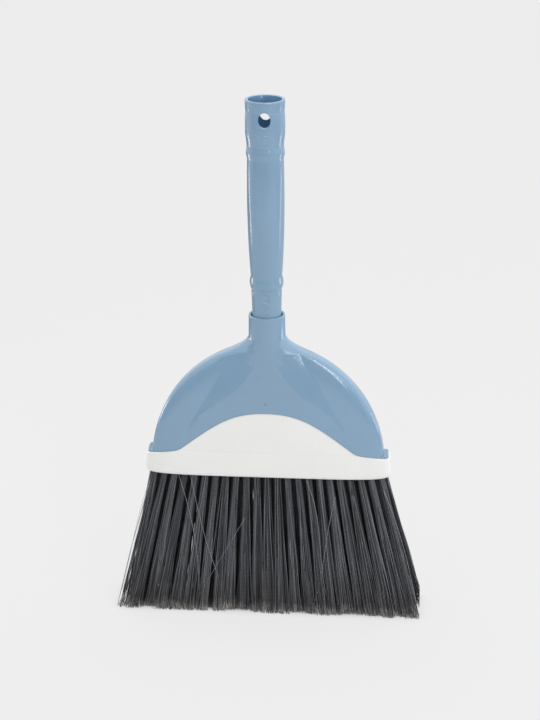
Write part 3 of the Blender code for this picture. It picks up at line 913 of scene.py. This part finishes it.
def build_block():
    """The white block: the band across the whole width and the humps under the cover's arch."""
    bottom_width = BLOCK_HALF_WIDTH + BLOCK_DRAFT
    rings = []
    for step in range(ROUND_STEPS + 1):
        angle = math.pi / 2 * step / ROUND_STEPS
        lost = 1 - math.sin(angle)
        rise = BLOCK_END_ROUND * (1 - math.cos(angle))
        width = bottom_width - BLOCK_END_ROUND * lost
        rings.append(slab_ring(rise, width, HEAD_HALF_DEPTH - BLOCK_FRONT_ROUND * lost))
    rings.append(band_top_ring())
    block = tube_object("block_body", rings)
    top = ARCH_RISE + OVERRUN
    levels = [level for level in dome_outline(DOME_LEVELS) if KINK_RISE < level[0] < top]
    hump_rings = [head_ring(KINK_RISE - HUMP_FOOT_DROP, levels[0][1], HUMP_FOOT_INSET)]
    hump_rings += [head_ring(*level, inset=BLOCK_RECESS) for level in levels]
    hump = tube_object("hump", hump_rings)
    cut(block, hump, "UNION")
    cut(block, seam_prism("above_seam", -SEAM_GAP, RIM_RISE))
    finish_edges(block)
    return block


# Handle shapes


def handle_grid():
    """Angles round the handle and heights up it, closer together where the small marks are."""
    angles = np.concatenate(
        [
            np.linspace(-FRONT_ANGLE, FRONT_ANGLE, FRONT_COLUMNS, endpoint=False),
            np.linspace(FRONT_ANGLE, math.tau - FRONT_ANGLE, OTHER_COLUMNS, endpoint=False),
        ]
    )
    heights = [np.linspace(low, high, count, endpoint=False) for low, high, count in HANDLE_SPANS]
    shares = [share for share, _ in SIDE_OUTLINE_SHARES if share > LIP_START_SHARE]
    lip = [share * HANDLE_EXPOSED for share in shares]
    return angles, np.unique(np.round(np.concatenate(heights + [lip]), 7))


def handle_reach(angles, heights):
    """Distance of the grip's skin from its axis: (height, angle)."""
    shares = heights / HANDLE_EXPOSED
    side = (smooth_curve(SIDE_OUTLINE_SHARES, shares) * BARREL_RADIUS)[:, None]
    front = (smooth_curve(FRONT_OUTLINE_SHARES, shares) * BARREL_RADIUS)[:, None]
    front = np.where(shares[:, None] > FRONT_OUTLINE_SHARES[-1][0], side, np.maximum(front, side))
    ridge = np.radians(np.interp(shares, *np.array(RIDGE_TABLE).T))[:, None]
    off_side = np.abs(angles % math.pi - math.pi / 2)[None, :]
    facet = side + (front - side) * np.minimum(off_side / ridge, FACET_LIMIT) ** FACET_POWER
    gap = facet - front
    reach = (facet + front - np.sqrt(gap**2 + RIDGE_BLEND**2)) / 2

    across = front * np.sin(angles)[None, :]
    facing = np.cos(angles)[None, :] > 0
    up = heights[:, None]

    def distance(height, half_sizes):
        return (across / half_sizes[0]) ** 2 + ((up - height) / half_sizes[1]) ** 2

    dish = np.clip(1 - distance(DIMPLE_HEIGHT, DIMPLE_HALF_SIZES), 0, 1)
    reach = reach - facing * DIMPLE_DEPTH * dish**DIMPLE_POWER
    wide, tall = GATE_MARK_HALF_SIZES
    lift = np.maximum(np.abs(up - GATE_MARK_HEIGHT) - (tall - wide), 0)
    ring = np.abs(np.hypot(across, lift) - wide) / GATE_MARK_WIDTH
    reach = reach - facing * GATE_MARK_DEPTH * np.exp(-(ring**2))
    dot = distance(GATE_DOT_HEIGHT, (GATE_DOT_RADIUS, GATE_DOT_RADIUS))
    reach = reach + facing * GATE_DOT_RADIUS * GATE_DOT_REACH_SHARE * np.exp(-dot)
    for x, height in PITS:
        spot = ((across - x) / PIT_RADIUS) ** 2 + ((up - height) / PIT_RADIUS) ** 2
        reach = reach - facing * PIT_DEPTH * np.exp(-spot)
    return reach


def build_handle():
    """The grip: round barrel and rings, soft facets on its sides, open mouth, oval hang hole."""
    angles, heights = handle_grid()
    reach = handle_reach(angles, heights)

    def ring(radii, height):
        return [
            (radius * math.sin(angle), -radius * math.cos(angle), HANDLE_FOOT + height)
            for radius, angle in zip(radii, angles)
        ]

    def plain(radius, height):
        return ring([radius] * len(angles), height)

    outer = [
        plain(SPIGOT_TIP_RADIUS - FIT_GAP, -SPIGOT_DEPTH),
        plain(SPIGOT_TIP_RADIUS, FIT_GAP - SPIGOT_DEPTH),
    ]
    outer += [ring(row, height) for height, row in zip(heights, reach)]
    outer.append(plain(SIDE_OUTLINE_SHARES[-1][1] * BARREL_RADIUS, HANDLE_EXPOSED))
    mouth = BARREL_RADIUS - HANDLE_WALL
    low = SPIGOT_TIP_RADIUS - HANDLE_WALL
    edge = MOUTH_EDGE
    inner = [
        plain(mouth + edge, HANDLE_EXPOSED),
        plain(mouth + edge * MOUTH_EDGE_SHARE, HANDLE_EXPOSED - edge * MOUTH_EDGE_SHARE),
        plain(mouth, HANDLE_EXPOSED - edge),
        plain(mouth, HANDLE_EXPOSED - MOUTH_DEPTH),
        plain(low, 0),
        plain(low, -SPIGOT_DEPTH),
    ]
    handle = tube_object("grip_handle", outer + inner, closed=True)

    hole_height = HANDLE_FOOT + HANDLE_EXPOSED - HOLE_DROP
    flare = 1 + 2 * HOLE_CHAMFER / (HOLE_HALF_WIDTH + HOLE_HALF_HEIGHT)
    inside = BARREL_RADIUS - HOLE_CHAMFER * HOLE_CHAMFER_DEPTH_SHARE
    places = ((-2 * BARREL_RADIUS, HOLE_CUTTER_FLARE), (-BARREL_RADIUS, flare), (-inside, 1.0))
    places += tuple((-y, stretch) for y, stretch in reversed(places))
    hole_rings = []
    for y, stretch in places:
        hole_ring = []
        for angle in [math.tau * step / HOLE_SIDES for step in range(HOLE_SIDES)]:
            x = HOLE_HALF_WIDTH * stretch * math.cos(angle)
            hole_ring.append((x, y, hole_height + HOLE_HALF_HEIGHT * stretch * math.sin(angle)))
        hole_rings.append(hole_ring)
    cut(handle, tube_object("hole", hole_rings))
    finish_edges(handle)
    handle.data.transform(Matrix.Rotation(HANDLE_TURN, 4, "Z"))
    return handle


# Brush shapes


def tuft_places():
    """(x, y) of every tuft's root, the same of its tip and whether it is in an inner row."""
    half_width = BLOCK_HALF_WIDTH - TUFT_END_MARGIN
    pitch = 2 * half_width / (TUFT_COLUMNS - 1)
    places = []
    for column in range(TUFT_COLUMNS):
        x = pitch * (column - (TUFT_COLUMNS - 1) / 2)
        half_depth = HEAD_HALF_DEPTH - ROW_EDGE_MARGIN
        rows = TUFT_ROWS
        if column in (0, TUFT_COLUMNS - 1):
            half_depth = END_ROW_REACH
            rows = TUFT_ROWS - 1
        for row in range(rows):
            share = row / (rows - 1)
            inner = 0 < row < rows - 1
            tip_x = x * TIP_SPREAD_SHARE + TIP_SHIFT + inner * math.copysign(TIP_STAGGER, share - 0.5)
            tip_y = mix(-TIP_HALF_DEPTH, TIP_HALF_DEPTH, share)
            places.append((x, mix(-half_depth, half_depth, share), tip_x, tip_y, inner))
    return places


def strands_mesh(name, paths, radii, tones):
    """One mesh of thin tubes. paths: (count, rings, 3); radii: (count, rings)."""
    count, rings, _ = paths.shape
    turn = np.arange(FILAMENT_SIDES) * math.tau / FILAMENT_SIDES
    offsets = np.stack([np.cos(turn), np.sin(turn), np.zeros(FILAMENT_SIDES)], -1)
    points = paths[:, :, None, :] + radii[:, :, None, None] * offsets[None, None]
    points = points.reshape(-1, 3)
    base = np.arange(count)[:, None, None] * rings * FILAMENT_SIDES
    ring = np.arange(rings - 1)[None, :, None] * FILAMENT_SIDES
    side = np.arange(FILAMENT_SIDES)[None, None, :]
    after = (side + 1) % FILAMENT_SIDES
    low = base + ring
    high = low + FILAMENT_SIDES
    quads = np.stack([low + side, low + after, high + after, high + side], -1).reshape(-1, 4)
    mesh = bpy.data.meshes.new(name)
    mesh.vertices.add(len(points))
    mesh.vertices.foreach_set("co", points.ravel())
    mesh.loops.add(quads.size)
    mesh.loops.foreach_set("vertex_index", quads.ravel())
    mesh.polygons.add(len(quads))
    mesh.polygons.foreach_set("loop_start", np.arange(len(quads)) * 4)
    mesh.update(calc_edges=True)
    tone = mesh.attributes.new("tone", "FLOAT", "POINT")
    tone.data.foreach_set("value", np.repeat(tones, rings * FILAMENT_SIDES))
    mesh.shade_smooth()
    obj = bpy.data.objects.new(name, mesh)
    bpy.context.scene.collection.objects.link(obj)
    return obj


def tuft_strands(chance, x, y, tip_x, tip_y, inner):
    """Paths, radii and tones of one tuft's filaments and of their frayed ends."""
    count = FILAMENTS
    swirl = np.arange(count) * GOLDEN_ANGLE + chance.uniform(0, math.tau)
    share = np.sqrt((np.arange(count) + 0.5) / count)
    across, outward = share * np.cos(swirl), share * np.sin(swirl)
    root = np.stack([x + TUFT_ROOT_RADII[inner] * across, y + TUFT_ROOT_RADII[0] * outward], -1)
    lean = chance.normal(0, TUFT_LEAN, 2)
    wild = np.where(chance.random(count) < WILD_SHARE, WILD_REACH, 1.0)
    swirl = swirl + chance.normal(0, STRAY_SHARES[0], count)
    share = np.clip(share + chance.normal(0, STRAY_SHARES[1], count), 0, 1)
    across, outward = share * np.cos(swirl), share * np.sin(swirl)
    tip = np.stack([TUFT_TIP_RADII[inner] * across * wild, TUFT_TIP_DEPTH * outward * wild], -1)
    tip += [tip_x + lean[0], tip_y + lean[1]]
    tip += chance.normal(0, TIP_SCATTER, (count, 2))
    if abs(x) > BLOCK_HALF_WIDTH - TUFT_END_MARGIN * END_REACH_SHARE:
        wisp = chance.random(count) < END_WISP_SHARE
        outward_pull = np.where(wisp, chance.uniform(0, END_WISP_REACH, count), -END_PULLS[x > 0])
        tip[:, 0] += math.copysign(1, x) * outward_pull
    limit = np.array(cad_box[1])[:2] - BOX_MARGIN
    tip = np.clip(tip, -limit, limit)

    lifted = 0 if chance.random() < CLUMP_SHARE else TUFT_LIFT * chance.random() ** TUFT_LIFT_POWER
    end = lifted + mix(*TIP_CLEARANCES, chance.random(count) ** TIP_CLEARANCE_POWER)
    fray = FRAY_HEIGHT * mix(*FRAY_SHARES, chance.random())
    along = np.linspace(0, 1, FILAMENT_RINGS)[None, :]
    fan = 1 - (1 - along) ** FAN_POWER
    start = BRISTLE_LENGTH + ROOT_DEPTH
    path = np.zeros((count, FILAMENT_RINGS, 3))
    phase = chance.uniform(0, math.tau, (count, 1))
    sway = SWAY * np.sin(along * SWAY_RUN + phase) * along
    for axis, weight in enumerate(SWAY_WEIGHTS):
        reach = (tip - root)[:, axis][:, None]
        place = root[:, axis][:, None] + reach * fan + weight * sway
        path[:, :, axis] = np.clip(place, -limit[axis], limit[axis])
    stop = end + fray * chance.uniform(*FRAY_START_SHARES, count)
    path[:, :, 2] = start + (stop - start)[:, None] * along
    radii = np.full((count, FILAMENT_RINGS), FILAMENT_RADIUS)
    radii[:, -1] *= END_RADIUS_SHARE
    # Inner-row filaments are darkened: painted shade between the rows
    tones = chance.random(count) ** TONE_POWER * (INNER_ROW_SHADE if inner else 1)

    prongs = []
    slope = (path[:, -1] - path[:, -3]) / (path[:, -1, 2] - path[:, -3, 2])[:, None]
    for side in (-1, 1):
        turn = chance.uniform(0, math.tau, count)
        reach = side * PRONG_SPREAD * chance.random(count)
        spread = np.stack([reach * np.cos(turn), reach * np.sin(turn), np.zeros(count)], -1)
        prong = np.zeros((count, 3, 3))
        prong[:, 0] = mix(path[:, -2], path[:, -1], PRONG_ROOT_SHARE)
        low = path[:, -1] + slope * (end - path[:, -1, 2])[:, None] + spread
        low[:, 2] = end + PRONG_LIFT * chance.random(count) ** 2
        prong[:, 2] = low
        bow = chance.uniform(*PRONG_BOW_SHARES, (count, 1))
        prong[:, 1] = (path[:, -1] + low) / 2 + spread * bow
        prong[:, :, :2] = np.clip(prong[:, :, :2], -limit, limit)
        prongs.append(prong)
    fray_radii = np.tile(FRAY_RADII, (2 * count, 1))
    return path, radii, tones, np.concatenate(prongs), fray_radii, np.tile(tones, 2)


def build_loose_hairs():
    """A few pale hairs that have sprung loose and lie across the front of the brush."""
    along = np.linspace(0, 1, len(LOOSE_HAIRS[0]))
    fine = np.linspace(0, 1, LOOSE_HAIR_RINGS)
    paths = np.zeros((len(LOOSE_HAIRS), LOOSE_HAIR_RINGS, 3))
    for path, hair in zip(paths, LOOSE_HAIRS):
        for axis, values in zip((0, 2), np.array(hair).T):
            path[:, axis] = np.polyval(np.polyfit(along, values, 3), fine)
        path[:, 1] = -mix(*LOOSE_HAIR_DEPTHS, 1 - path[:, 2] / BRISTLE_LENGTH)
    radii = np.full(paths.shape[:2], LOOSE_HAIR_RADIUS)
    return strands_mesh("loose_hairs", paths, radii, np.full(len(paths), LOOSE_HAIR_TONE))


def build_brush():
    """Five groups of tufts, from left to right, so that no single mesh is too large."""
    chance = np.random.default_rng(RANDOM_SEED)
    places = tuft_places()
    pieces = []
    steps = range(TUFT_GROUPS + 1)
    edges = [BLOCK_HALF_WIDTH * (2 * step / TUFT_GROUPS - 1) for step in steps]
    for number in range(TUFT_GROUPS):
        inside = [p for p in places if edges[number] <= p[0] < edges[number + 1]]
        parts = [tuft_strands(chance, *place) for place in inside]
        joined = [np.concatenate(column) for column in zip(*parts)]
        pieces.append(strands_mesh(f"tufts_{number + 1}", *joined[:3]))
        pieces.append(strands_mesh(f"tuft_ends_{number + 1}", *joined[3:]))
    return pieces + [build_loose_hairs()]


# Camera, floor and light


def build_camera():
    sin_p, cos_p = math.sin(CAMERA_PITCH), math.cos(CAMERA_PITCH)
    sin_t, cos_t = math.sin(CAMERA_TURN), math.cos(CAMERA_TURN)
    forward = Vector((-sin_t * cos_p, cos_t * cos_p, -sin_p))
    right = Vector((cos_t, sin_t, 0))
    up = right.cross(forward)
    eye = Vector((0, 0, CAMERA_AIM_HEIGHT)) + right * CAMERA_AIM_RIGHT - forward * CAMERA_DISTANCE
    roll_c, roll_s = math.cos(CAMERA_ROLL), math.sin(CAMERA_ROLL)
    rolled_right = right * roll_c - up * roll_s
    rolled_up = up * roll_c + right * roll_s
    data = bpy.data.cameras.new("photo_camera")
    data.lens = CAMERA_LENS
    data.sensor_width = CAMERA_SENSOR
    data.sensor_fit = "AUTO"
    data.clip_end = CAMERA_REACH
    camera = bpy.data.objects.new("photo_camera", data)
    turn = Matrix((rolled_right, rolled_up, -forward)).transposed().to_4x4()
    camera.matrix_world = Matrix.Translation(eye) @ turn
    bpy.context.scene.collection.objects.link(camera)
    bpy.context.scene.camera = camera


def area_light(name, place, aim, size, power, colour):
    data = bpy.data.lights.new(name, "AREA")
    data.shape = "RECTANGLE"
    data.size, data.size_y = size
    data.energy = power
    data.color = colour
    light = bpy.data.objects.new(name, data)
    turn = (Vector(aim) - Vector(place)).to_track_quat("-Z", "Y")
    light.matrix_world = Matrix.Translation(place) @ turn.to_matrix().to_4x4()
    bpy.context.scene.collection.objects.link(light)


def glow_with_painted_shadow(nodes, links):
    """The floor's glow with a painted contact shadow: dark beneath the brush and full outside it."""
    split = nodes.new("ShaderNodeSeparateXYZ")
    links.new(nodes.new("ShaderNodeTexCoord").outputs["Object"], split.inputs["Vector"])
    outside = nodes.new("ShaderNodeCombineXYZ")
    for axis, half_size in zip("XY", PAINTED_SHADOW_HALF_SIZES):
        reach = add_node(nodes, "ShaderNodeMath", operation="ABSOLUTE")
        links.new(split.outputs[axis], reach.inputs[0])
        beyond = add_node(nodes, "ShaderNodeMath", operation="SUBTRACT", use_clamp=True)
        links.new(reach.outputs["Value"], beyond.inputs[0])
        beyond.inputs[1].default_value = half_size
        links.new(beyond.outputs["Value"], outside.inputs[axis])
    distance = add_node(nodes, "ShaderNodeVectorMath", operation="LENGTH")
    links.new(outside.outputs["Vector"], distance.inputs[0])
    share = nodes.new("ShaderNodeMapRange")
    share.inputs["From Max"].default_value = PAINTED_SHADOW_FADE
    links.new(distance.outputs["Value"], share.inputs["Value"])
    fade = nodes.new("ShaderNodeValToRGB")
    stops = [(position, [share_left * FLOOR_GLOW] * 3) for position, share_left in PAINTED_SHADOW_STOPS]
    set_stops(fade.color_ramp, stops)
    links.new(share.outputs["Result"], fade.inputs["Fac"])
    return fade.outputs["Color"]


def build_floor():
    """A wide pale floor of backlit paper, as under a product tent, with a painted contact shadow
    under the brush.
    """
    half = FLOOR_HALF_SIZE
    corners = [(-half, -half, 0), (half, -half, 0), (half, half, 0), (-half, half, 0)]
    floor = mesh_object("studio_floor", corners, [(0, 1, 2, 3)])
    material, nodes, links, shader = new_material("studio_paper")
    noise = add_node(nodes, "ShaderNodeTexNoise", Scale=FLOOR_CLOUD_SCALE)
    ramp = nodes.new("ShaderNodeValToRGB")
    tones = (FLOOR_TONE - FLOOR_TONE_SPREAD, FLOOR_TONE + FLOOR_TONE_SPREAD)
    set_stops(ramp.color_ramp, [(position, [tone] * 3) for position, tone in enumerate(tones)])
    links.new(noise.outputs["Fac"], ramp.inputs["Fac"])
    links.new(ramp.outputs["Color"], shader.inputs["Base Color"])
    shader.inputs["Roughness"].default_value = FLOOR_ROUGHNESS
    shader.inputs["Specular IOR Level"].default_value = 0.0
    shader.inputs["Emission Color"].default_value = (1, 1, 1, 1)
    links.new(glow_with_painted_shadow(nodes, links), shader.inputs["Emission Strength"])
    floor.data.materials.append(material)


def matt_cloth(obj, tone):
    """Gives a screen or mat its plain cloth and hides it from the camera."""
    material, _, _, shader = new_material(obj.name + "_cloth")
    shader.inputs["Base Color"].default_value = (tone, tone, tone, 1)
    shader.inputs["Roughness"].default_value = 1
    obj.data.materials.append(material)
    obj.visible_camera = False


def build_flag(name, corners, height, tone):
    """A standing screen along these corners, unseen by the camera, that the gloss mirrors."""
    points = [(x, y, z) for z in (0, height) for x, y in corners]
    count = len(corners)
    faces = [(k, k + 1, count + k + 1, count + k) for k in range(count - 1)]
    flag = mesh_object(name, points, faces, smooth=False)
    matt_cloth(flag, tone)


def build_mat(name, corners, tone):
    """A cloth outside the picture, darker than the paper floor, that dims the gloss at the sides."""
    points = [(x, y, MAT_HEIGHT) for x, y in corners]
    mat = mesh_object(name, points, [(0, 1, 2, 3)], smooth=False)
    matt_cloth(mat, tone)
    mat.visible_diffuse = False
    mat.visible_shadow = False


def build_stage():
    """Pale floor, screens and mats, even white surroundings and the soft lights."""
    build_floor()
    for flag in FLAGS:
        build_flag(*flag)
    for mat in MATS:
        build_mat(*mat)
    world = bpy.data.worlds.new("tent")
    world.use_nodes = True
    background = world.node_tree.nodes["Background"]
    background.inputs["Color"].default_value = (1, 1, 1, 1)
    background.inputs["Strength"].default_value = TENT_STRENGTH
    bpy.context.scene.world = world
    for light in LIGHTS:
        area_light(*light)


def dress(piece, body, slot, material, *nodes):
    piece.data.materials.clear()
    piece.data.materials.append(material)
    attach(piece, body)
    if nodes:
        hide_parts(*nodes)


# Where the handle's mouth gets its painted shade: (bore radius, height it starts at)
bore = (BARREL_RADIUS - HANDLE_WALL, HANDLE_FOOT + HANDLE_EXPOSED - MOUTH_DEPTH)
handle_blue = moulded_plastic(
    "handle_blue", BLUE, roughness=0.20, mottle=0.03, grain=1400.0, grain_height=0.00003, bore=bore
)
cover_blue = moulded_plastic(
    "cover_blue", BLUE, roughness=0.15, mottle=0.02, grain=900.0, grain_height=0.00002
)
block_white = moulded_plastic(
    "block_white", WHITE, roughness=0.40, mottle=0.012, grain=1100.0, grain_height=0.00002
)
filament_grey = filament_material()

bpy.context.scene.view_settings.view_transform = "Standard"
build_camera()
build_stage()
dress(build_cover(), "head", "cover_plastic", cover_blue, "head_cover")
dress(build_ledges(), "head", "cover_plastic", cover_blue)
dress(build_block(), "head", "block_plastic", block_white, "bristle_block")
dress(build_handle(), "handle", "handle_plastic", handle_blue, "handle_tube")
tuft_nodes = [f"tuft_column_{number:02d}" for number in range(1, TUFT_COLUMNS + 1)]
for piece in build_brush():
    nodes = tuft_nodes if piece.name == "tufts_1" else []
    dress(piece, "head", "filament", filament_grey, *nodes)
